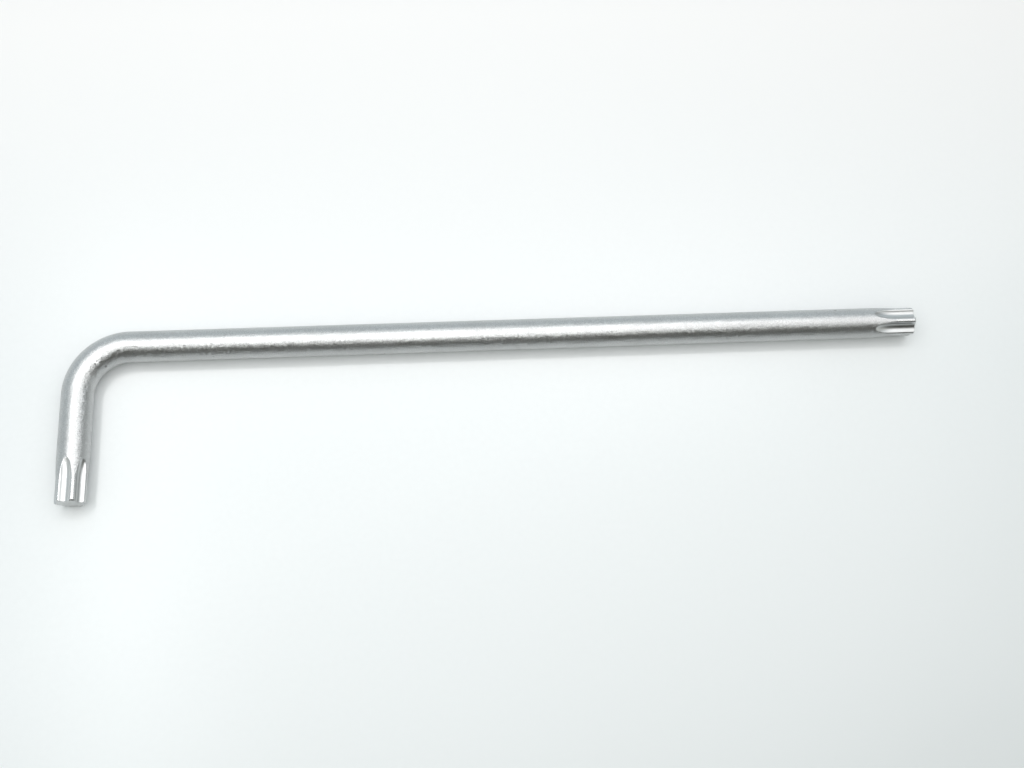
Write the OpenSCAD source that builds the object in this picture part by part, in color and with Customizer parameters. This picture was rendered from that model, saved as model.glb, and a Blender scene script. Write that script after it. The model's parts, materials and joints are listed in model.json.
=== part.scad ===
// Star key: an L-shaped driver for hexalobular screws, bent from one round bar.
// It lies flat: the long arm points to +X, the short arm to -Y, and +Z is up.
// The bar is drawn in five sections that meet face to face where the maker's work changes:
// the fluted ends, the straight arms and the bend. All sizes are in millimetres.

/* [Bar] */
// Diameter of the round bar
bar_d = 6.7; // [6:0.05:7.4]
// Length over the long arm, from the back of the short arm to the end
long_reach = 187.5; // [120:0.5:260]
// Length over the short arm, from the back of the long arm to the end
short_reach = 37.7; // [30:0.1:60]
// Radius of the bend along the middle of the bar
bend_r = 10.7; // [8:0.1:16]

/* [Drive tips] */
// Size over two opposite lobes, a little over the bar so that each crest keeps a strip of it
tip_over_lobes = 6.75; // [6.4:0.01:7.2]
// Size between two opposite flutes, at their roots
tip_over_roots = 4.8; // [4.5:0.01:5.2]
// Radius of each rounded lobe
lobe_r = 0.58; // [0.5:0.01:0.65]
// Length of the straight part of the flutes
flute_straight = 4.7; // [3:0.1:7]
// Length over which the flutes rise out of the bar
flute_runout = 4.55; // [3:0.05:6]
// Plain bar behind the flutes that belongs to the tip
tip_land = 0.75; // [0.4:0.05:2]
// Chamfer on the ends of the lobes
end_chamfer = 0.3; // [0.1:0.05:0.6]
// How far the tip tapers in on each side towards its end, so that it enters a socket easily
tip_relief = 0.03; // [0.01:0.01:0.08]

/* [Turn of the tips in the bar] */
// Angle of the long tip's first lobe from straight up, leaning to the short arm's side
long_clock = 14; // [0:1:59]
// Angle of the short tip's first lobe from straight up, leaning to the long arm's side
short_clock = 25; // [0:1:59]

/* [Hidden] */
$fn = 96;

quarter_turn = 90;
half_turn = 180;
full_turn = 360;

// How far a cut runs past the surface that it opens
overrun = 1;
// How far a lobe's arc bites into the flute's arc, so that the two arcs cross and never only touch
arc_bite = 0.006;
// Angle by which each flute's cutter laps over the crest beside it
crest_lap = 2;
// Angle that the run-out turns on after it has left the bar
runout_spare = 4;

lobe_count = 6;
lobe_step = full_turn / lobe_count;
half_step = lobe_step / 2;

bar_r = bar_d / 2;
tip_end_r = bar_r - tip_relief;
root_r = tip_over_roots / 2;

// Distance from the bar's axis to the middle of a lobe's arc
lobe_reach = tip_over_lobes / 2 - lobe_r;
// Distance from the bar's axis to the middle of a flute's arc, which touches the lobes on both sides
flute_reach = (pow(lobe_reach, 2) - pow(root_r - lobe_r, 2))
            / (2 * (lobe_reach * cos(half_step) - (root_r - lobe_r)));
flute_r = flute_reach - root_r;
// Radius at which a flute's cutter is well outside the bar
cutter_reach = bar_r + overrun;

// The wheel that shapes a flute's run-out: it reaches the root and leaves the bar over flute_runout
flute_depth = bar_r - root_r;
wheel_r = (pow(flute_runout, 2) + pow(flute_depth, 2)) / (2 * flute_depth);
wheel_reach = root_r + wheel_r;
runout_angle = asin(flute_runout / wheel_r) + runout_spare;

tip_len = flute_straight + flute_runout + tip_land;
long_arm_len = long_reach - bar_r - bend_r - tip_len;
short_arm_len = short_reach - bar_r - bend_r - tip_len;

// Places in the key's own frame, whose origin is under the middle of the key's box
short_x = bar_r - long_reach / 2;
long_y = short_reach / 2 - bar_r;
bend_x = short_x + bend_r;
bend_y = long_y - bend_r;
long_end_x = long_reach / 2;
short_end_y = -short_reach / 2;

satin_chrome = [0.72, 0.74, 0.75];
bright_chrome = [0.83, 0.85, 0.86];

function polar(reach, angle) = [reach * cos(angle), reach * sin(angle)];

// What one flute takes away from the bar's round section, with the flute facing +X
module flute_outline() {
    translate([flute_reach, 0]) circle(r = flute_r);
    difference() {
        polygon([
            [flute_reach, 0],
            polar(lobe_reach, -half_step),
            polar(cutter_reach, -half_step - crest_lap),
            polar(cutter_reach, half_step + crest_lap),
            polar(lobe_reach, half_step)
        ]);
        for (side = [-half_step, half_step])
            translate(polar(lobe_reach, side)) circle(r = lobe_r + arc_bite);
    }
}

// One flute: straight from the end at Z = 0, then up and out of the bar along the wheel's round
module flute_cut() {
    translate([0, 0, -overrun])
        linear_extrude(height = flute_straight + overrun) flute_outline();
    translate([wheel_reach, 0, flute_straight])
        rotate([quarter_turn, 0, half_turn])
        rotate_extrude(angle = runout_angle)
        translate([wheel_reach, 0])
        mirror([1, 0]) flute_outline();
}

// The end of the bar with its taper and chamfer, before it is fluted; the end face is at Z = 0
module blank_end() {
    rotate_extrude()
        polygon([
            [0, 0],
            [tip_end_r - end_chamfer, 0],
            [tip_end_r, end_chamfer],
            [bar_r, tip_len],
            [0, tip_len]
        ]);
}

// A fluted drive tip that runs along +Z from its end face, with its first lobe facing +X
module star_tip() {
    difference() {
        blank_end();
        for (i = [0 : lobe_count - 1])
            rotate([0, 0, half_step + i * lobe_step]) flute_cut();
    }
}

module long_tip() {
    color(bright_chrome)
        translate([long_end_x, long_y, bar_r])
        rotate([0, -quarter_turn, 0])
        rotate([0, 0, -long_clock]) star_tip();
}

module long_arm() {
    color(satin_chrome)
        translate([bend_x, long_y, bar_r])
        rotate([0, quarter_turn, 0]) cylinder(h = long_arm_len, r = bar_r);
}

module bend() {
    color(satin_chrome)
        translate([bend_x, bend_y, bar_r])
        rotate([0, 0, quarter_turn])
        rotate_extrude(angle = quarter_turn)
        translate([bend_r, 0]) circle(r = bar_r);
}

module short_arm() {
    color(satin_chrome)
        translate([short_x, bend_y, bar_r])
        rotate([quarter_turn, 0, 0]) cylinder(h = short_arm_len, r = bar_r);
}

module short_tip() {
    color(bright_chrome)
        translate([short_x, short_end_y, bar_r])
        rotate([-quarter_turn, 0, 0])
        rotate([0, 0, short_clock - quarter_turn]) star_tip();
}

long_tip();
long_arm();
bend();
short_arm();
short_tip();
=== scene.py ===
"""Star key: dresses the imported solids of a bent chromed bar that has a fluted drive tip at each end."""

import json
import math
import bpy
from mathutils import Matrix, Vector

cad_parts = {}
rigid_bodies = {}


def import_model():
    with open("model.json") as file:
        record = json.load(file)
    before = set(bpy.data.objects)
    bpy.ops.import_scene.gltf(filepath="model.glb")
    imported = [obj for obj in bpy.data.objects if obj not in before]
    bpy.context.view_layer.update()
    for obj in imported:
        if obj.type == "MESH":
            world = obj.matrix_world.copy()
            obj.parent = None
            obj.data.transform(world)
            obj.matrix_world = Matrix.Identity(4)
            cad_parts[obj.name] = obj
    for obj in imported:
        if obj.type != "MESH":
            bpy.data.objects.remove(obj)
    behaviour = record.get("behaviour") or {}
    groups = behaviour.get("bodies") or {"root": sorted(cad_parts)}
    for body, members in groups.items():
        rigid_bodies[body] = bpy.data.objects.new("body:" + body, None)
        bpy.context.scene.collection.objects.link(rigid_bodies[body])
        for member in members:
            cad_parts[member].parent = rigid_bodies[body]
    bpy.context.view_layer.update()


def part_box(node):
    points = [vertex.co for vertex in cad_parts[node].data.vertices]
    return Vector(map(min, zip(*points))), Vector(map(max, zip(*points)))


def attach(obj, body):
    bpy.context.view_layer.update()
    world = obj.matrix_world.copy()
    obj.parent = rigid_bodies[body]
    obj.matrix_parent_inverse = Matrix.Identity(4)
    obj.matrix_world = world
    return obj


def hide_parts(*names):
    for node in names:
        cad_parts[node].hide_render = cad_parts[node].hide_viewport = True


bl_info = {
    "name": "Star key",
    "version": (1, 0, 0),
    "blender": (4, 5, 0),
    "location": "3D View > Sidebar > Star key",
    "description": "Builds a satin chromed star key with two fluted drive tips, on a pale table",
    "category": "Add Mesh",
}

import bmesh
import bpy
import numpy as np
from bpy.props import FloatProperty, FloatVectorProperty, IntProperty, PointerProperty
from mathutils import Matrix, Vector

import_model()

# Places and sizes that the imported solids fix, in metres
LONG_ARM_LOW, LONG_ARM_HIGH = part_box("long_arm")
SHORT_ARM_LOW, SHORT_ARM_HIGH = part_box("short_arm")
LONG_TIP_LOW, LONG_TIP_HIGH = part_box("long_tip")
SHORT_TIP_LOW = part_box("short_tip")[0]
BAR_RADIUS = (LONG_ARM_HIGH.z - LONG_ARM_LOW.z) / 2
BAR_HEIGHT = (LONG_ARM_HIGH.z + LONG_ARM_LOW.z) / 2
LONG_AXIS_Y = (LONG_ARM_HIGH.y + LONG_ARM_LOW.y) / 2
SHORT_AXIS_X = (SHORT_ARM_HIGH.x + SHORT_ARM_LOW.x) / 2
BEND_CENTRE = Vector((LONG_ARM_LOW.x, SHORT_ARM_HIGH.y, BAR_HEIGHT))
BEND_RADIUS = LONG_AXIS_Y - BEND_CENTRE.y
TIP_LENGTH = LONG_TIP_HIGH.x - LONG_TIP_LOW.x

# Fixed facts of the key and of the picture
MM = 0.001
LOBES = 6
KEY_PIECES = ("drive_tip_long", "drive_tip_short", "shank_long", "elbow", "shank_short")
UP = np.array((0.0, 0.0, 1.0))
ALONG_X = np.array((1.0, 0.0, 0.0))
ALONG_Y = np.array((0.0, 1.0, 0.0))
PICTURE_WIDTH = 1024
SENSOR_WIDTH = 36.0

# Rows in each stretch of a tip, and how far the close rows at its end go, in bevels
TIP_ROWS = (6, 12, 22, 78, 8)
BEVEL_REACH = 1.5

# Steps along the arms and the bend, and the distance of a section face from the row beside it
LONG_ARM_STEP = 1.5 * MM
BEND_STEP = 0.2 * MM
SHORT_ARM_STEP = 0.6 * MM
SECTION_GAP = 0.02 * MM

# Rows through a nick, how far they reach to each side of its middle in its lengths, how steeply it
# deepens, and how soon its darkness is full
NICK_ROWS = 13
NICK_REACH = 0.55
NICK_STEEPNESS = 1.5
NICK_DARKENING = 1.5

# Rings of the tips' end faces and of the section faces, in shares of the radius, and the angle between
# faces from which an edge is sharp
FACE_RINGS = np.array([0.12, 0.3, 0.5, 0.68, 0.82, 0.92, 0.97])
INNER_RING = 0.5
SHARP_EDGE = math.radians(50.0)

# Search for a flute's surface: halvings, and the range to start from in shares of the root and of the bar
SEARCH_STEPS = 44
SEARCH_FROM = 0.5
SEARCH_TO = 1.2

# Polish of the ground lobes and where it ends, in lengths of the run-out, and polish of the end face
GROUND_POLISH = 0.9
GROUND_REACH = 0.15
GROUND_FADE = 0.3
FACE_POLISH = 0.35

# Depth of a flute over which its polish comes in, and over which the wear of its edge goes out
POLISH_EDGE = 0.12 * MM
WORN_EDGE = 0.10 * MM

# Chrome: sizes of its patches, which spots are pits, and how wide the pits are
SMUDGE_SIZE = 9.0 * MM
HANDLED_SIZE = 2.2 * MM
SPOT_SIZE = 1.9 * MM
PIT_CHOICE = (0.985, 0.99)
PIT_CORE = (0.05, 0.10)

# Chrome: the pebbles' lean is their random colour less this middle, times these shares
LEAN_MIDDLE = (0.5, 0.5, 0.5)
LEAN_SHARES = (0.4, 0.4, 1.6)

# Chrome: haze of the smudges, and painted shade on the sides of the bar, set by how far they face up
SMUDGE_FADE = (0.42, 0.66)
SMUDGE_HAZE = 0.25
UNDERSIDE_SHADE_FADE = (0.3, 0.72)
UNDERSIDE_SHADE_SHARE = 0.30

# Chrome: what smudges, handling, wear and marks do to the roughness
SMUDGE_SPREAD = (0.35, 0.70, -0.01, 0.03)
HANDLED_SPREAD = (0.4, 0.7, -0.01, 0.02)
WORN_SMOOTHER = 0.06
MARK_ROUGHER = 0.20

# Table: its fibre, where painted light turns it paler behind and painted shade turns it greyer at its near
# right corner, and where its gloss fades
FIBRE_SIZE = 1.3 * MM
FIBRE_DARKER = 0.985
FAR_LIGHT_FADE = (0.01, 0.10)
NEAR_SHADE_SLANT = 0.4
NEAR_SHADE_FADE = (-0.11, -0.01)
GLOSS_FADE = (0.09, 0.30)
TABLE_ROUGHNESS = 0.30
TABLE_SPECULAR = 0.45
TABLE_COAT = 1.0

# Felt of the boards round the stage
FELT_SIZE = 20.0 * MM
FELT_LIGHTER = 1.15
FELT_ROUGHNESS = 0.95
FELT_SPECULAR = 0.1

# Range in which most of the noise lies
NOISE_RANGE = (0.3, 0.7)

# Stage: shapes of the boards, and places in metres and degrees
DOWN = (0.0, 0.0, -1.0)
SQUARE = ((-1, -1), (1, -1), (1, 1), (-1, 1))
ONE_FACE = [(0, 1, 2, 3)]
TABLE_HALF = 6.0
BOARD_FOOT = 0.004
SCREEN_ARC = (-145.0, -22.0)
SCREEN_NEARING = (-100.0, -40.0)
SCREEN_POSTS = 49
CARD_X = 0.33
CARD_Y = (-0.02, 0.22)
CARD_TOP = 0.19
HOOD_GAP = 0.01
LAMP_SETBACK = 0.01
ROOM_FADE = (-0.5, 0.35)
CAMERA_CLIP = (0.005, 50.0)

# Marks of use on the bar: distance along in mm, angle around in degrees from straight up towards the
# inside of the bend, then length, width and depth in mm, then how dark the mark is
LONG_ARM_NICKS = (
    (1.7, 19.2, 1.7, 0.32, 0.020, 0.55),
    (12.3, 21.5, 0.8, 0.32, 0.020, 0.50),
    (18.0, 18.8, 0.9, 0.32, 0.020, 0.50),
    (18.1, 72.8, 0.5, 0.50, 0.020, 0.25),
    (155.7, -44.8, 0.9, 0.40, 0.020, 0.60),
    (74.0, -64.0, 0.9, 0.50, 0.030, 0.40),
    (121.0, 150.0, 1.1, 0.60, 0.035, 0.45),
)
BEND_NICKS = (
    (7.2, 68.0, 0.9, 0.75, 0.050, 0.75),
    (7.2, 41.0, 0.5, 0.40, 0.030, 0.50),
    (15.4, 47.2, 1.0, 0.50, 0.070, 0.0),
    (10.5, -80.0, 0.9, 0.60, 0.035, 0.40),
)
SHORT_ARM_NICKS = (
    (2.6, 45.2, 0.8, 0.45, 0.050, 0.0),
    (9.0, -120.0, 0.8, 0.50, 0.030, 0.40),
)


class StarKeySizes(bpy.types.PropertyGroup):
    """Sizes of the drive tips and of the small rounding that the plating leaves."""

    over_lobes: FloatProperty(
        name="Over lobes",
        description="Diameter of the star measured over two opposite lobes",
        default=6.75 * MM, min=1.0 * MM, precision=5, unit="LENGTH",
    )
    over_roots: FloatProperty(
        name="Over roots",
        description="Diameter of the star measured between the bottoms of two opposite flutes",
        default=4.8 * MM, min=0.5 * MM, precision=5, unit="LENGTH",
    )
    lobe_radius: FloatProperty(
        name="Lobe radius",
        description="Radius of the round nose of one lobe",
        default=0.58 * MM, min=0.05 * MM, precision=5, unit="LENGTH",
    )
    flute_straight: FloatProperty(
        name="Straight flute",
        description="Length over which a flute keeps its full depth",
        default=4.7 * MM, min=0.5 * MM, precision=5, unit="LENGTH",
    )
    flute_runout: FloatProperty(
        name="Flute run-out",
        description="Length over which a flute climbs back to the bar's surface",
        default=4.55 * MM, min=0.5 * MM, precision=5, unit="LENGTH",
    )
    end_chamfer: FloatProperty(
        name="End chamfer",
        description="Width of the bevel round the end of each tip",
        default=0.3 * MM, min=0.0, precision=5, unit="LENGTH",
    )
    tip_relief: FloatProperty(
        name="Tip relief",
        description="How much smaller in radius the tip is at its end than where it joins the arm",
        default=0.03 * MM, min=0.0, precision=5, unit="LENGTH",
    )
    edge_round: FloatProperty(
        name="Edge rounding",
        description="Width over which the plated edges of the flutes are rounded",
        default=0.07 * MM, min=0.01 * MM, precision=5, unit="LENGTH",
    )
    end_round: FloatProperty(
        name="End rounding",
        description="Radius of the edge between the bevel and the end face",
        default=0.08 * MM, min=0.01 * MM, precision=5, unit="LENGTH",
    )
    long_clock: FloatProperty(
        name="Long tip turn",
        description="Turn of the long tip's first lobe from straight up, towards the inside of the bend",
        default=math.radians(14.0), subtype="ANGLE", unit="ROTATION",
    )
    short_clock: FloatProperty(
        name="Short tip turn",
        description="Turn of the short tip's first lobe from straight up, towards the inside of the bend",
        default=math.radians(25.0), subtype="ANGLE", unit="ROTATION",
    )
    tip_columns: IntProperty(
        name="Tip points around",
        description="Points in one ring of a drive tip",
        default=360, min=48,
    )
    bar_columns: IntProperty(
        name="Bar points around",
        description="Points in one ring of the arms and of the bend",
        default=256, min=24,
    )


class StarKeyFinish(bpy.types.PropertyGroup):
    """Colours and grain of the chrome."""

    chrome: FloatVectorProperty(
        name="Chrome",
        description="Colour that clean chrome gives back",
        default=(0.71, 0.72, 0.72), size=3, min=0.0, max=1.0, subtype="COLOR",
    )
    # Besides the dulling by handling, the haze colour is also the painted shade on the bar's lower sides
    haze: FloatVectorProperty(
        name="Haze",
        description="Colour of chrome that handling has dulled",
        default=(0.545, 0.55, 0.55), size=3, min=0.0, max=1.0, subtype="COLOR",
    )
    pit: FloatVectorProperty(
        name="Pits",
        description="Colour at the bottom of small pits",
        default=(0.20, 0.195, 0.19), size=3, min=0.0, max=1.0, subtype="COLOR",
    )
    satin_roughness: FloatProperty(
        name="Satin roughness",
        description="Roughness of the blasted and plated bar",
        default=0.345, min=0.0, max=1.0, subtype="FACTOR",
    )
    flute_roughness: FloatProperty(
        name="Flute roughness",
        description="Roughness of the ground and plated flutes",
        default=0.30, min=0.0, max=1.0, subtype="FACTOR",
    )
    grain_size: FloatProperty(
        name="Grain size",
        description="Width of one pebble of the satin grain",
        default=0.17 * MM, min=0.02 * MM, precision=6, unit="LENGTH",
    )
    grain_lean: FloatProperty(
        name="Grain lean",
        description="How far single pebbles of the grain lean out of the bar's surface",
        default=0.31, min=0.0, max=1.0, subtype="FACTOR",
    )
    grain_depth: FloatProperty(
        name="Grain depth",
        description="Height of the satin grain",
        default=0.020 * MM, min=0.0, precision=6, unit="LENGTH",
    )


class StarKeyStage(bpy.types.PropertyGroup):
    """The table, the light and the camera."""

    table_colour: FloatVectorProperty(
        name="Table",
        description="Colour of the pale table",
        default=(0.79, 0.815, 0.822), size=3, min=0.0, max=1.0, subtype="COLOR",
    )
    # Painted light: the table's colour turns paler towards its far side
    far_lit_colour: FloatVectorProperty(
        name="Far table",
        description="Colour of the pale table on its far side",
        default=(0.90, 0.887, 0.882), size=3, min=0.0, max=1.0, subtype="COLOR",
    )
    # Painted shade: the table's colour turns greyer towards its near right corner
    near_shade_colour: FloatVectorProperty(
        name="Table nearby",
        description="Colour of the table towards its near right corner",
        default=(0.69, 0.714, 0.718), size=3, min=0.0, max=1.0, subtype="COLOR",
    )
    room_colour: FloatVectorProperty(
        name="Room",
        description="Colour of the pale room behind the table",
        default=(0.580, 0.644, 0.668), size=3, min=0.0, max=1.0, subtype="COLOR",
    )
    front_colour: FloatVectorProperty(
        name="Room in front",
        description="Colour of the room on the viewer's side",
        default=(0.630, 0.651, 0.616), size=3, min=0.0, max=1.0, subtype="COLOR",
    )
    screen_colour: FloatVectorProperty(
        name="Dark screen",
        description="Colour of the dark screen that stands on the viewer's side",
        default=(0.041, 0.0385, 0.029), size=3, min=0.0, max=1.0, subtype="COLOR",
    )
    card_colour: FloatVectorProperty(
        name="Grey card",
        description="Colour of the low grey card to the right of the table",
        default=(0.30, 0.30, 0.29), size=3, min=0.0, max=1.0, subtype="COLOR",
    )
    lamp_place: FloatVectorProperty(
        name="Broad lamp place",
        description="Middle of the broad soft lamp over the table",
        default=(0.032, 0.0415, 0.30), size=3, subtype="TRANSLATION", unit="LENGTH",
    )
    lamp_width: FloatProperty(
        name="Broad lamp width", description="Size of the broad lamp along the long arm",
        default=0.537, min=0.05, unit="LENGTH",
    )
    lamp_depth: FloatProperty(
        name="Broad lamp depth", description="Size of the broad lamp across the long arm",
        default=0.303, min=0.05, unit="LENGTH",
    )
    lamp_power: FloatProperty(
        name="Broad lamp power", description="Light that the broad lamp gives",
        default=0.721, min=0.0, unit="POWER",
    )
    back_strip: FloatVectorProperty(
        name="Back strip place",
        description="Middle of the strip lamp that runs along the long arm, behind it",
        default=(0.0, 0.115, 0.29), size=3, subtype="TRANSLATION", unit="LENGTH",
    )
    left_strip: FloatVectorProperty(
        name="Left strip place",
        description="Middle of the strip lamp that runs along the short arm, to its left",
        default=(-0.165, 0.0, 0.29), size=3, subtype="TRANSLATION", unit="LENGTH",
    )
    strip_length: FloatProperty(
        name="Strip length", description="Length of the strip lamps",
        default=0.32, min=0.01, unit="LENGTH",
    )
    strip_width: FloatProperty(
        name="Strip width", description="Width of the strip lamps",
        default=0.016, min=0.001, unit="LENGTH",
    )
    strip_power: FloatProperty(
        name="Strip power", description="Light that each strip lamp gives",
        default=0.108, min=0.0, unit="POWER",
    )
    near_size: FloatProperty(
        name="Viewer's lamp size", description="Diameter of each weak lamp at the camera",
        default=0.08, min=0.005, unit="LENGTH",
    )
    near_power: FloatProperty(
        name="Viewer's lamp power", description="Light that each weak lamp at the camera gives",
        default=0.062, min=0.0, unit="POWER",
    )
    screen_radius: FloatProperty(
        name="Screen distance", description="Distance of the dark screen from the middle of the table",
        default=0.30, min=0.1, unit="LENGTH",
    )
    screen_near: FloatProperty(
        name="Screen closeness", description="Share of the screen's distance at which its right end stands",
        default=0.67, min=0.1, max=1.0, subtype="FACTOR",
    )
    screen_height: FloatProperty(
        name="Screen height", description="Height of the dark screen",
        default=0.375, min=0.01, unit="LENGTH",
    )
    camera_place: FloatVectorProperty(
        name="Camera place",
        description="Where the camera stands",
        default=(-9.87 * MM, -71.5 * MM, 238.3 * MM), size=3, precision=5,
        subtype="TRANSLATION", unit="LENGTH",
    )
    camera_view: FloatVectorProperty(
        name="Camera view",
        description="Direction in which the camera looks",
        default=(0.05188, 0.30551, -0.95083), size=3, precision=4, subtype="DIRECTION",
    )
    camera_right: FloatVectorProperty(
        name="Camera right",
        description="Direction that lies level across the picture",
        default=(0.998, -0.049, 0.0392), size=3, precision=4, subtype="DIRECTION",
    )
    camera_focal: FloatProperty(
        name="Focal length",
        description="Focal length of the camera in picture points",
        default=1130.4, min=1.0, subtype="PIXEL",
    )


# Shapes

def soft_min(first, second, width):
    """The smaller of two lengths, rounded over the given width where they cross."""
    near = np.clip(1.0 - np.abs(first - second) / width, 0.0, 1.0)
    return np.minimum(first, second) - width * near * near / 4.0


class TipForm:
    """The outline of the star and the grinding wheel's path, worked out from the sizes of a tip."""

    def __init__(self, sizes):
        half_step = math.pi / LOBES
        self.root = sizes.over_roots / 2
        self.lobe_radius = sizes.lobe_radius
        reach = sizes.over_lobes / 2 - sizes.lobe_radius
        self.lobe_out = reach * math.cos(half_step)
        self.lobe_aside = reach * math.sin(half_step)
        over = self.root**2 + reach**2 - 2 * self.root * self.lobe_out - self.lobe_radius**2
        under = 2 * (self.lobe_radius + self.lobe_out - self.root)
        self.flute_radius = over / under
        self.flute_out = self.root + self.flute_radius
        share = self.flute_radius / (self.flute_radius + self.lobe_radius)
        self.touch = self.lobe_aside * share
        self.straight = sizes.flute_straight
        climb = BAR_RADIUS - self.root
        wheel = (sizes.flute_runout**2 + climb**2) / (2 * climb)
        self.wheel_out = self.root + wheel

    def floor(self, across):
        """Distance from the key's axis to a flute's surface, at a place across the full-depth flute."""
        aside = np.abs(across)
        in_flute = self.flute_out - np.sqrt(np.maximum(self.flute_radius**2 - aside**2, 0.0))
        over_lobe = self.lobe_radius**2 - (aside - self.lobe_aside) ** 2
        on_lobe = self.lobe_out + np.sqrt(np.maximum(over_lobe, 0.0))
        return np.where(aside < self.touch, in_flute, on_lobe)

    def cut(self, turn, depth):
        """Radius of the flute's surface, by angle from the flute's middle and depth from the end."""
        rise = np.maximum(depth - self.straight, 0.0)
        low = np.full(np.broadcast(turn, depth).shape, self.root * SEARCH_FROM)
        high = np.full_like(low, BAR_RADIUS * SEARCH_TO)
        for _ in range(SEARCH_STEPS):
            middle = (low + high) / 2
            reach = self.wheel_out - self.floor(middle * np.sin(turn))
            left = reach**2 - rise**2
            surface = self.wheel_out - np.sqrt(np.maximum(left, 0.0))
            inside = (left > 0) & (middle * np.cos(turn) > surface)
            high = np.where(inside, middle, high)
            low = np.where(inside, low, middle)
        return (low + high) / 2


def ring_angles(columns):
    """Angles round the bar, from straight up towards the inside of the bend."""
    return np.arange(columns) * (2 * math.pi / columns)


def rings(stations, sides, radii):
    """Points of the rings: one ring at each station, turned from straight up towards the side given there."""
    around = ring_angles(radii.shape[1])
    spoke = np.cos(around)[None, :, None] * UP + np.sin(around)[None, :, None] * sides[:, None, :]
    return stations[:, None, :] + radii[:, :, None] * spoke


def skin(name, grid, first_hub, last_hub, layers):
    """Closes a stack of rings into one mesh, with a hub in each end and layers of point values."""
    rows, columns = grid.shape[:2]
    points = np.concatenate([grid.reshape(-1, 3), [first_hub, last_hub]])
    index = np.arange(rows * columns).reshape(rows, columns)
    after = np.roll(index, -1, axis=1)
    quads = np.stack([index[:-1], after[:-1], after[1:], index[1:]], axis=-1).reshape(-1, 4)
    hub = rows * columns
    first_fan = np.stack([np.full(columns, hub), after[0], index[0]], axis=-1)
    last_fan = np.stack([np.full(columns, hub + 1), index[-1], after[-1]], axis=-1)
    mesh = bpy.data.meshes.new(name)
    mesh.from_pydata(points.tolist(), [], quads.tolist() + first_fan.tolist() + last_fan.tolist())
    shape = bmesh.new()
    shape.from_mesh(mesh)
    bmesh.ops.recalc_face_normals(shape, faces=shape.faces)
    shape.to_mesh(mesh)
    shape.free()
    for layer, values in layers.items():
        held = np.concatenate([values.ravel(), [values[0].mean(), values[-1].mean()]])
        mesh.attributes.new(layer, "FLOAT", "POINT").data.foreach_set("value", held.astype(np.float32))
    mesh.shade_smooth()
    mesh.set_sharp_from_angle(angle=SHARP_EDGE)
    mesh.update()
    piece = bpy.data.objects.new(name, mesh)
    bpy.context.scene.collection.objects.link(piece)
    return piece


def settle(piece, solid, finish):
    """Gives a piece its finish and ties it to the solid that it stands for."""
    piece.data.materials.append(finish)
    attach(piece, "root")
    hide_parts(solid)


def nick_marks(along, nicks, columns):
    """Depth and darkness of the marks of use at each place along and round the bar."""
    around = ring_angles(columns)[None, :]
    depth = np.zeros((len(along), columns))
    shade = np.zeros_like(depth)
    for place, angle, length, width, deep, dark in nicks:
        ahead = (along[:, None] - place * MM) / (length * MM / 2)
        turn = (around - math.radians(angle) + math.pi) % (2 * math.pi) - math.pi
        aside = BAR_RADIUS * turn / (width * MM / 2)
        within = np.clip(1.0 - ahead**2 - aside**2, 0.0, 1.0)
        depth += deep * MM * within**NICK_STEEPNESS
        shade = np.maximum(shade, dark * np.minimum(NICK_DARKENING * within, 1.0))
    return depth, shade


def row_places(length, step, nicks):
    """Places along the bar: even steps, with closer ones through each mark and beside the section faces."""
    places = [np.linspace(0.0, length, max(2, int(round(length / step)) + 1))]
    places.append(np.array([SECTION_GAP, length - SECTION_GAP]))
    for place, _, long, *_ in nicks:
        reach = long * NICK_REACH
        places.append(np.linspace(place - reach, place + reach, NICK_ROWS) * MM)
    merged = np.unique(np.round(np.concatenate(places), 8))
    return merged[(merged >= 0.0) & (merged <= length)]


def bar_piece(name, along, stations, sides, nicks, columns):
    """A length of bar between two flat section faces."""
    depth, shade = nick_marks(along, nicks, columns)
    inner = np.full((1, columns), BAR_RADIUS * INNER_RING)
    plain = np.zeros_like(inner)
    radii = np.concatenate([inner, BAR_RADIUS - depth, inner])
    shade = np.concatenate([plain, shade, plain])
    stations = np.concatenate([stations[:1], stations, stations[-1:]])
    sides = np.concatenate([sides[:1], sides, sides[-1:]])
    return skin(name, rings(stations, sides, radii), stations[0], stations[-1], {"nick": shade})


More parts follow.
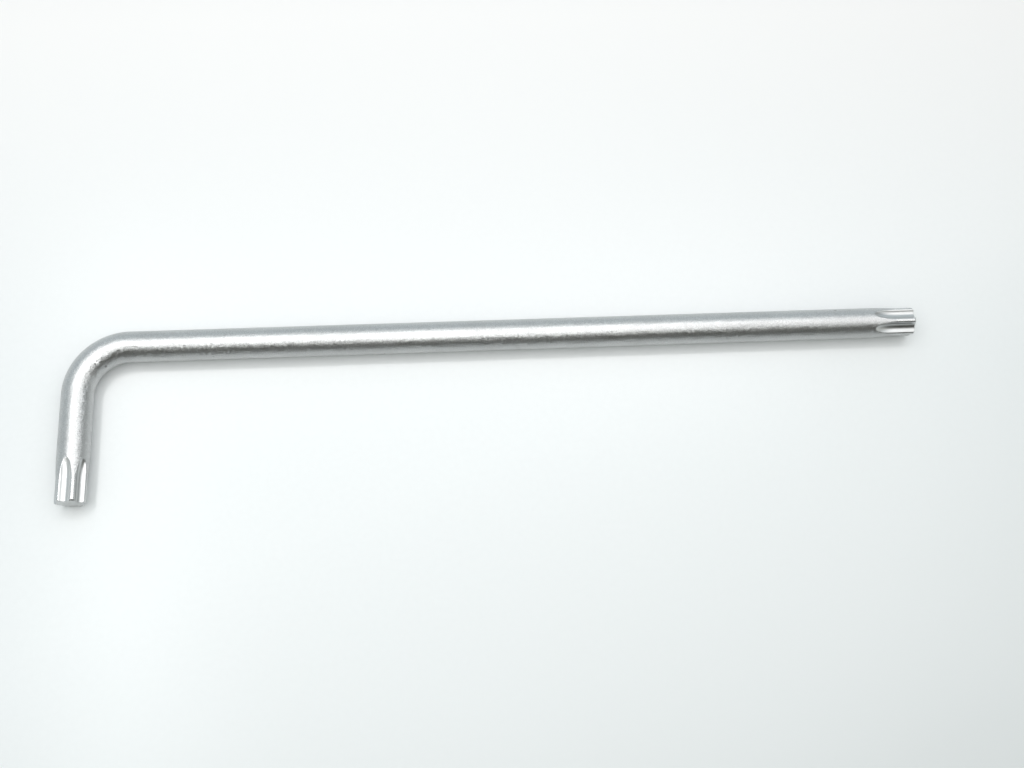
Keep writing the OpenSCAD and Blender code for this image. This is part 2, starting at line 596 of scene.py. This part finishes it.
def tip_piece(name, end, inward, side, clock, sizes):
    """A drive tip: the blank with its bevel and taper, cut by six flutes that run out on a wheel's arc."""
    form = TipForm(sizes)
    straight, runout = sizes.flute_straight, sizes.flute_runout
    bevel = sizes.end_chamfer
    stops = (0.0, sizes.end_round, bevel * BEVEL_REACH, straight, straight + runout, TIP_LENGTH)
    stretches = [np.linspace(low, high, rows) for low, high, rows in zip(stops, stops[1:], TIP_ROWS)]
    depth = np.unique(np.concatenate([*stretches, [TIP_LENGTH - SECTION_GAP]]).round(9))[:, None]
    step = 2 * math.pi / LOBES
    turn = (ring_angles(sizes.tip_columns)[None, :] - clock) % step - step / 2
    taper = BAR_RADIUS - sizes.tip_relief * (1.0 - depth / TIP_LENGTH)
    blank = soft_min(taper, taper - bevel + depth, sizes.edge_round)
    cut = form.cut(turn, depth)
    radii = soft_min(np.broadcast_to(blank, cut.shape), cut, sizes.edge_round)
    short_of = np.clip(sizes.end_round - depth, 0.0, None)
    radii = radii - (sizes.end_round - np.sqrt(sizes.end_round**2 - short_of**2))
    to_runout = straight + GROUND_REACH * runout - depth
    ground = GROUND_POLISH * np.clip(to_runout / (GROUND_FADE * runout), 0.0, 1.0)
    polish = np.maximum(np.clip((blank - cut) / POLISH_EDGE, 0.0, 1.0), ground)
    worn = np.exp(-(((blank - cut) / WORN_EDGE) ** 2))
    face = radii[:1] * FACE_RINGS[:, None]
    back = radii[-1:] * INNER_RING
    radii = np.concatenate([face, radii, back])
    ends = np.zeros_like(face)
    places = np.concatenate([ends[:, 0], depth.ravel(), depth[-1]])
    polish = np.concatenate([ends + FACE_POLISH, polish, ends[:1]])
    worn = np.concatenate([ends, worn, ends[:1]])
    stations = end + places[:, None] * inward
    sides = np.broadcast_to(side, stations.shape)
    return skin(name, rings(stations, sides, radii), end, stations[-1], {"polish": polish, "worn": worn})


# Finishes

def node(tree, kind, **settings):
    """Adds one shader node with its own settings."""
    made = tree.nodes.new(kind)
    for key, value in settings.items():
        setattr(made, key, value)
    return made


def math_node(tree, operation, first, second=None, clamp=False):
    """Adds one step of arithmetic, and returns what it gives."""
    made = node(tree, "ShaderNodeMath", operation=operation, use_clamp=clamp)
    for socket, value in zip(made.inputs, (first, second)):
        if value is None:
            continue
        if isinstance(value, (int, float)):
            socket.default_value = value
        else:
            tree.links.new(value, socket)
    return made.outputs["Value"]


def vector_node(tree, operation, first, second=None):
    """Adds a step on directions, and returns what it gives."""
    made = node(tree, "ShaderNodeVectorMath", operation=operation)
    for socket, value in zip(made.inputs, (first, second)):
        if isinstance(value, tuple):
            socket.default_value = value
        elif value is not None:
            tree.links.new(value, socket)
    return made.outputs["Vector"]


def scaled(tree, direction, share):
    """Scales a direction by a share, and returns the result."""
    made = node(tree, "ShaderNodeVectorMath", operation="SCALE")
    tree.links.new(direction, made.inputs["Vector"])
    tree.links.new(share, made.inputs["Scale"])
    return made.outputs["Vector"]


def ramp(tree, value, low, high, to_low, to_high):
    """Maps one range of values to another, held at both ends."""
    made = node(tree, "ShaderNodeMapRange", clamp=True)
    for name, number in (("From Min", low), ("From Max", high), ("To Min", to_low), ("To Max", to_high)):
        made.inputs[name].default_value = number
    tree.links.new(value, made.inputs["Value"])
    return made.outputs["Result"]


def noise(tree, places, size, detail):
    """Adds even noise whose lumps have about the given size, and returns its strength."""
    made = node(tree, "ShaderNodeTexNoise")
    made.inputs["Scale"].default_value = 1.0 / size
    made.inputs["Detail"].default_value = detail
    tree.links.new(places, made.inputs["Vector"])
    return made.outputs["Fac"]


def cells(tree, places, size):
    """Adds rounded cells of about the given size, and returns their distances and colours."""
    made = node(tree, "ShaderNodeTexVoronoi", feature="F1")
    made.inputs["Scale"].default_value = 1.0 / size
    tree.links.new(places, made.inputs["Vector"])
    return made.outputs["Distance"], made.outputs["Color"]


def mix_colour(tree, share, first, second):
    """Mixes two colours by a share, and returns the result."""
    made = node(tree, "ShaderNodeMix", data_type="RGBA")
    tree.links.new(share, made.inputs["Factor"])
    for socket, value in ((made.inputs[6], first), (made.inputs[7], second)):
        if isinstance(value, bpy.types.NodeSocket):
            tree.links.new(value, socket)
        else:
            socket.default_value = (*value, 1.0)
    return made.outputs[2]


def new_finish(name):
    """A fresh material with its shader and the object's own coordinates."""
    finish = bpy.data.materials.new(name)
    finish.use_nodes = True
    tree = finish.node_tree
    tree.nodes.clear()
    shader = node(tree, "ShaderNodeBsdfPrincipled")
    output = node(tree, "ShaderNodeOutputMaterial")
    tree.links.new(shader.outputs["BSDF"], output.inputs["Surface"])
    places = node(tree, "ShaderNodeTexCoord").outputs["Object"]
    return finish, tree, shader, places


def chrome_finish(name, looks):
    """Satin chrome with a pebbled grain, which turns smooth where the piece is marked as polished."""
    finish, tree, shader, places = new_finish(name)
    polish = node(tree, "ShaderNodeAttribute", attribute_name="polish").outputs["Fac"]
    worn = node(tree, "ShaderNodeAttribute", attribute_name="worn").outputs["Fac"]
    nick = node(tree, "ShaderNodeAttribute", attribute_name="nick").outputs["Fac"]
    satin = math_node(tree, "SUBTRACT", 1.0, polish, clamp=True)

    pebbles, pebble_colour = cells(tree, places, looks.grain_size)
    smudge = noise(tree, places, SMUDGE_SIZE, detail=3.0)
    handled = noise(tree, places, HANDLED_SIZE, detail=4.0)
    spots, spot_colour = cells(tree, places, SPOT_SIZE)
    chosen = node(tree, "ShaderNodeSeparateColor")
    tree.links.new(spot_colour, chosen.inputs["Color"])
    rare = ramp(tree, chosen.outputs["Red"], *PIT_CHOICE, 0.0, 1.0)
    core = ramp(tree, spots, *PIT_CORE, 1.0, 0.0)
    pitted = math_node(tree, "MULTIPLY", math_node(tree, "MULTIPLY", rare, core), satin)

    dome = math_node(tree, "MULTIPLY", math_node(tree, "MULTIPLY", pebbles, pebbles), satin)
    height = math_node(tree, "SUBTRACT", math_node(tree, "MULTIPLY", dome, -1.0), pitted)
    bump = node(tree, "ShaderNodeBump")
    bump.inputs["Strength"].default_value = 1.0
    bump.inputs["Distance"].default_value = looks.grain_depth
    tree.links.new(height, bump.inputs["Height"])
    lean = vector_node(tree, "SUBTRACT", pebble_colour, LEAN_MIDDLE)
    lean = vector_node(tree, "MULTIPLY", lean, LEAN_SHARES)
    lean = scaled(tree, lean, math_node(tree, "MULTIPLY", satin, looks.grain_lean))
    straight = node(tree, "ShaderNodeNewGeometry").outputs["Normal"]
    leaning = vector_node(tree, "NORMALIZE", vector_node(tree, "ADD", straight, lean))
    tree.links.new(leaning, bump.inputs["Normal"])
    tree.links.new(bump.outputs["Normal"], shader.inputs["Normal"])

    # Random grain tone, and painted glint and shade: pebbles that lean up are painted lighter, those that
    # lean down darker
    toned = node(tree, "ShaderNodeSeparateColor")
    tree.links.new(pebble_colour, toned.inputs["Color"])
    pebble_tone_and_shade = math_node(tree, "SUBTRACT", satin, toned.outputs["Blue"], clamp=True)
    haze_and_shade = math_node(tree, "ADD", ramp(tree, smudge, *SMUDGE_FADE, 0.0, SMUDGE_HAZE), pebble_tone_and_shade)
    # Painted shade: the chrome is dulled towards the haze colour on the sides that face less far up, which
    # darkens the bar's lower band
    facing = node(tree, "ShaderNodeSeparateXYZ")
    tree.links.new(straight, facing.inputs["Vector"])
    underside_shade = ramp(tree, facing.outputs["Z"], *UNDERSIDE_SHADE_FADE, UNDERSIDE_SHADE_SHARE, 0.0)
    haze_and_shade = math_node(tree, "ADD", haze_and_shade, underside_shade)
    clean = mix_colour(tree, haze_and_shade, looks.chrome, looks.haze)
    marked = math_node(tree, "MAXIMUM", pitted, nick)
    tree.links.new(mix_colour(tree, marked, clean, looks.pit), shader.inputs["Base Color"])

    base = ramp(tree, polish, 0.0, 1.0, looks.satin_roughness, looks.flute_roughness)
    spread = math_node(tree, "ADD", ramp(tree, smudge, *SMUDGE_SPREAD), ramp(tree, handled, *HANDLED_SPREAD))
    rough = math_node(tree, "ADD", base, spread)
    rough = math_node(tree, "SUBTRACT", rough, math_node(tree, "MULTIPLY", worn, WORN_SMOOTHER))
    rough = math_node(tree, "ADD", rough, math_node(tree, "MULTIPLY", marked, MARK_ROUGHER), clamp=True)
    tree.links.new(rough, shader.inputs["Roughness"])
    shader.inputs["Metallic"].default_value = 1.0
    return finish


def table_finish(stage):
    """A pale, fine grained table with painted light that makes it paler behind and painted shade that greys
    its near corner, glossy only round the key.
    """
    finish, tree, shader, places = new_finish("pale_table")
    tone = ramp(tree, noise(tree, places, FIBRE_SIZE, detail=3.0), *NOISE_RANGE, 0.0, 1.0)
    darker = tuple(part * FIBRE_DARKER for part in stage.table_colour)
    grained = mix_colour(tree, tone, darker, stage.table_colour)
    parts = node(tree, "ShaderNodeSeparateXYZ")
    tree.links.new(places, parts.inputs["Vector"])
    across, deep = parts.outputs["X"], parts.outputs["Y"]
    # Painted light towards the far side, and painted shade towards the near right corner
    far_lit_table = mix_colour(tree, ramp(tree, deep, *FAR_LIGHT_FADE, 0.0, 1.0), grained, stage.far_lit_colour)
    shade_slant = math_node(tree, "SUBTRACT", deep, math_node(tree, "MULTIPLY", across, NEAR_SHADE_SLANT))
    pale = mix_colour(tree, ramp(tree, shade_slant, *NEAR_SHADE_FADE, 1.0, 0.0), far_lit_table, stage.near_shade_colour)
    tree.links.new(pale, shader.inputs["Base Color"])
    shader.inputs["Roughness"].default_value = TABLE_ROUGHNESS
    shader.inputs["Specular IOR Level"].default_value = TABLE_SPECULAR
    shader.inputs["Coat Weight"].default_value = TABLE_COAT
    shader.inputs["Coat Roughness"].default_value = TABLE_ROUGHNESS

    matte = node(tree, "ShaderNodeBsdfDiffuse")
    tree.links.new(pale, matte.inputs["Color"])
    squares = [math_node(tree, "MULTIPLY", side, side) for side in (across, deep)]
    reach = math_node(tree, "POWER", math_node(tree, "ADD", *squares), 0.5)
    glossy = ramp(tree, reach, *GLOSS_FADE, 1.0, 0.0)
    blend = node(tree, "ShaderNodeMixShader")
    tree.links.new(math_node(tree, "MULTIPLY", glossy, glossy), blend.inputs["Fac"])
    tree.links.new(matte.outputs["BSDF"], blend.inputs[1])
    tree.links.new(shader.outputs["BSDF"], blend.inputs[2])
    tree.links.new(blend.outputs["Shader"], tree.nodes["Material Output"].inputs["Surface"])
    return finish


def felt_finish(name, colour):
    """Felt for the boards round the stage."""
    finish, tree, shader, places = new_finish(name)
    tone = ramp(tree, noise(tree, places, FELT_SIZE, detail=2.0), *NOISE_RANGE, 0.0, 1.0)
    lighter = tuple(part * FELT_LIGHTER for part in colour)
    tree.links.new(mix_colour(tree, tone, colour, lighter), shader.inputs["Base Color"])
    shader.inputs["Roughness"].default_value = FELT_ROUGHNESS
    shader.inputs["Specular IOR Level"].default_value = FELT_SPECULAR
    return finish


# Stage

def set_board(name, points, faces, finish):
    """Stands one flat or curved board on the stage."""
    mesh = bpy.data.meshes.new(name)
    mesh.from_pydata(points, [], faces)
    mesh.materials.append(finish)
    mesh.shade_smooth()
    board = bpy.data.objects.new(name, mesh)
    bpy.context.scene.collection.objects.link(board)
    return board


def hang_lamp(name, place, towards, power, width, depth=None):
    """Hangs one soft lamp, round or, with a depth, with four sides."""
    lamp = bpy.data.lights.new(name, "AREA")
    lamp.shape = "RECTANGLE" if depth else "DISK"
    lamp.size = width
    lamp.size_y = depth or width
    lamp.energy = power
    held = bpy.data.objects.new(name, lamp)
    held.location = place
    held.rotation_mode = "QUATERNION"
    held.rotation_quaternion = Vector(towards).to_track_quat("-Z", "Y")
    bpy.context.scene.collection.objects.link(held)
    return held


def set_table(stage):
    """Lays the wide table under the key."""
    corners = [(x * TABLE_HALF, y * TABLE_HALF, 0.0) for x, y in SQUARE]
    set_board("table", corners, ONE_FACE, table_finish(stage))


def set_screen(stage, felt):
    """Stands the dark screen, closer at its right end, where only reflections show it."""
    turns = np.linspace(*SCREEN_ARC, SCREEN_POSTS)
    begin, end = SCREEN_NEARING
    nearing = np.clip((turns - begin) / (end - begin), 0.0, 1.0)
    share = 1.0 - (1.0 - stage.screen_near) * nearing**2 * (3.0 - 2.0 * nearing)
    turns = np.radians(turns)
    feet = stage.screen_radius * share[:, None] * np.stack([np.cos(turns), np.sin(turns)], axis=-1)
    points = [(x, y, BOARD_FOOT) for x, y in feet]
    points += [(x, y, stage.screen_height * part) for (x, y), part in zip(feet, share)]
    count = len(turns)
    faces = [(i, i + 1, count + i + 1, count + i) for i in range(count - 1)]
    screen = set_board("dark_screen", points, faces, felt)
    screen.visible_camera = False
    screen.visible_diffuse = False
    screen.visible_shadow = False


def set_card(stage):
    """Stands the low grey card to the right of the table."""
    near, far = CARD_Y
    edges = ((near, BOARD_FOOT), (far, BOARD_FOOT), (far, CARD_TOP), (near, CARD_TOP))
    points = [(CARD_X, y, z) for y, z in edges]
    card = set_board("grey_card", points, ONE_FACE, felt_finish("grey_felt", stage.card_colour))
    card.visible_camera = False
    card.visible_shadow = False


def set_hood(stage, felt):
    """Lays a dark board over the broad lamp, so that the room isn't seen through the lamp."""
    across, deep = stage.lamp_width / 2, stage.lamp_depth / 2
    lamp_x, lamp_y, lamp_z = stage.lamp_place
    back = lamp_z + HOOD_GAP
    corners = [(lamp_x + x * across, lamp_y + y * deep, back) for x, y in SQUARE]
    set_board("lamp_hood", corners, ONE_FACE, felt).visible_camera = False


def hang_lamps(scene, stage):
    """Hangs the broad lamp, two strips and, at the camera, a weak lamp for the key and one for the table."""
    hang_lamp("broad_lamp", stage.lamp_place, DOWN, stage.lamp_power, stage.lamp_width, stage.lamp_depth)
    length, width = stage.strip_length, stage.strip_width
    hang_lamp("back_strip", stage.back_strip, DOWN, stage.strip_power, length, width)
    hang_lamp("left_strip", stage.left_strip, DOWN, stage.strip_power, width, length)
    ahead = Vector(stage.camera_view).normalized()
    place = Vector(stage.camera_place) - ahead * LAMP_SETBACK
    near = hang_lamp("viewer_lamp", place, ahead, stage.near_power, stage.near_size)
    lit = bpy.data.collections.new("lit_by_viewer_lamp")
    for piece in scene.objects:
        if piece.name in KEY_PIECES:
            lit.objects.link(piece)
    near.light_linking.receiver_collection = lit
    fill = hang_lamp("table_fill", place, ahead, stage.near_power, stage.near_size)
    fill.visible_glossy = False


def set_room(scene, stage):
    """Puts a pale room round the stage, warmer on the viewer's side."""
    room = bpy.data.worlds.new("pale_room")
    room.use_nodes = True
    tree = room.node_tree
    heading = node(tree, "ShaderNodeSeparateXYZ")
    tree.links.new(node(tree, "ShaderNodeTexCoord").outputs["Generated"], heading.inputs["Vector"])
    behind = ramp(tree, heading.outputs["Y"], *ROOM_FADE, 0.0, 1.0)
    air = mix_colour(tree, behind, stage.front_colour, stage.room_colour)
    tree.links.new(air, tree.nodes["Background"].inputs["Color"])
    tree.nodes["Background"].inputs["Strength"].default_value = 1.0
    scene.world = room


def set_camera(scene, stage):
    """Stands the camera where the picture is taken from."""
    camera = bpy.data.cameras.new("camera")
    camera.sensor_width = SENSOR_WIDTH
    camera.lens = stage.camera_focal * SENSOR_WIDTH / PICTURE_WIDTH
    camera.clip_start, camera.clip_end = CAMERA_CLIP
    viewer = bpy.data.objects.new("camera", camera)
    ahead = Vector(stage.camera_view).normalized()
    right = Vector(stage.camera_right)
    right = (right - ahead * right.dot(ahead)).normalized()
    above = right.cross(ahead)
    turn = Matrix((right, above, -ahead)).transposed().to_4x4()
    viewer.matrix_world = Matrix.Translation(Vector(stage.camera_place)) @ turn
    scene.collection.objects.link(viewer)
    scene.camera = viewer


# Operators

class STAR_KEY_OT_drive_tips(bpy.types.Operator):
    """Add the two fluted drive tips"""

    bl_idname = "star_key.drive_tips"
    bl_label = "Drive tips"
    bl_options = {"REGISTER", "UNDO"}

    def execute(self, context):
        sizes = context.scene.star_key_sizes
        finish = chrome_finish("bright_chrome", context.scene.star_key_finish)
        long_end = np.array((LONG_TIP_HIGH.x, LONG_AXIS_Y, BAR_HEIGHT))
        piece = tip_piece("drive_tip_long", long_end, -ALONG_X, -ALONG_Y, sizes.long_clock, sizes)
        settle(piece, "long_tip", finish)
        short_end = np.array((SHORT_AXIS_X, SHORT_TIP_LOW.y, BAR_HEIGHT))
        piece = tip_piece("drive_tip_short", short_end, ALONG_Y, ALONG_X, sizes.short_clock, sizes)
        settle(piece, "short_tip", finish)
        return {"FINISHED"}


class STAR_KEY_OT_bar(bpy.types.Operator):
    """Add the long arm, the bend and the short arm"""

    bl_idname = "star_key.bar"
    bl_label = "Bent bar"
    bl_options = {"REGISTER", "UNDO"}

    def execute(self, context):
        columns = context.scene.star_key_sizes.bar_columns
        finish = chrome_finish("satin_chrome", context.scene.star_key_finish)

        along = row_places(LONG_ARM_HIGH.x - LONG_ARM_LOW.x, LONG_ARM_STEP, LONG_ARM_NICKS)
        start = np.array((LONG_ARM_LOW.x, LONG_AXIS_Y, BAR_HEIGHT))
        stations = start + along[:, None] * ALONG_X
        sides = np.broadcast_to(-ALONG_Y, stations.shape)
        piece = bar_piece("shank_long", along, stations, sides, LONG_ARM_NICKS, columns)
        settle(piece, "long_arm", finish)

        along = row_places(BEND_RADIUS * math.pi / 2, BEND_STEP, BEND_NICKS)
        sweep = along / BEND_RADIUS
        sides = np.stack([np.sin(sweep), -np.cos(sweep), np.zeros_like(sweep)], axis=-1)
        stations = np.array(BEND_CENTRE) - BEND_RADIUS * sides
        piece = bar_piece("elbow", along, stations, sides, BEND_NICKS, columns)
        settle(piece, "bend", finish)

        along = row_places(SHORT_ARM_HIGH.y - SHORT_ARM_LOW.y, SHORT_ARM_STEP, SHORT_ARM_NICKS)
        start = np.array((SHORT_AXIS_X, SHORT_ARM_HIGH.y, BAR_HEIGHT))
        stations = start - along[:, None] * ALONG_Y
        sides = np.broadcast_to(ALONG_X, stations.shape)
        piece = bar_piece("shank_short", along, stations, sides, SHORT_ARM_NICKS, columns)
        settle(piece, "short_arm", finish)
        return {"FINISHED"}


class STAR_KEY_OT_stage(bpy.types.Operator):
    """Set the table, the light and the camera"""

    bl_idname = "star_key.stage"
    bl_label = "Table, light and camera"
    bl_options = {"REGISTER", "UNDO"}

    def execute(self, context):
        scene = context.scene
        stage = scene.star_key_stage
        scene.view_settings.view_transform = "Standard"
        set_table(stage)
        felt = felt_finish("dark_felt", stage.screen_colour)
        set_screen(stage, felt)
        set_card(stage)
        set_hood(stage, felt)
        hang_lamps(scene, stage)
        set_room(scene, stage)
        set_camera(scene, stage)
        return {"FINISHED"}


class STAR_KEY_PT_sidebar(bpy.types.Panel):
    """Lists the steps that build the key, and the values that they use"""

    bl_idname = "STAR_KEY_PT_sidebar"
    bl_label = "Star key"
    bl_space_type = "VIEW_3D"
    bl_region_type = "UI"
    bl_category = "Star key"

    def draw(self, context):
        column = self.layout.column(align=True)
        for step in (STAR_KEY_OT_drive_tips, STAR_KEY_OT_bar, STAR_KEY_OT_stage):
            column.operator(step.bl_idname)
        scene = context.scene
        for group in (scene.star_key_sizes, scene.star_key_finish, scene.star_key_stage):
            box = self.layout.box()
            for name in group.__annotations__:
                box.prop(group, name)


CLASSES = (
    StarKeySizes,
    StarKeyFinish,
    StarKeyStage,
    STAR_KEY_OT_drive_tips,
    STAR_KEY_OT_bar,
    STAR_KEY_OT_stage,
    STAR_KEY_PT_sidebar,
)


def register():
    """Makes the steps and their values known to Blender."""
    for made in CLASSES:
        bpy.utils.register_class(made)
    bpy.types.Scene.star_key_sizes = PointerProperty(type=StarKeySizes)
    bpy.types.Scene.star_key_finish = PointerProperty(type=StarKeyFinish)
    bpy.types.Scene.star_key_stage = PointerProperty(type=StarKeyStage)


def unregister():
    """Takes the steps and their values away again."""
    del bpy.types.Scene.star_key_stage
    del bpy.types.Scene.star_key_finish
    del bpy.types.Scene.star_key_sizes
    for made in reversed(CLASSES):
        bpy.utils.unregister_class(made)


def main():
    """Builds the key and its stage."""
    register()
    bpy.ops.star_key.drive_tips()
    bpy.ops.star_key.bar()
    bpy.ops.star_key.stage()


if __name__ == "__main__":
    main()
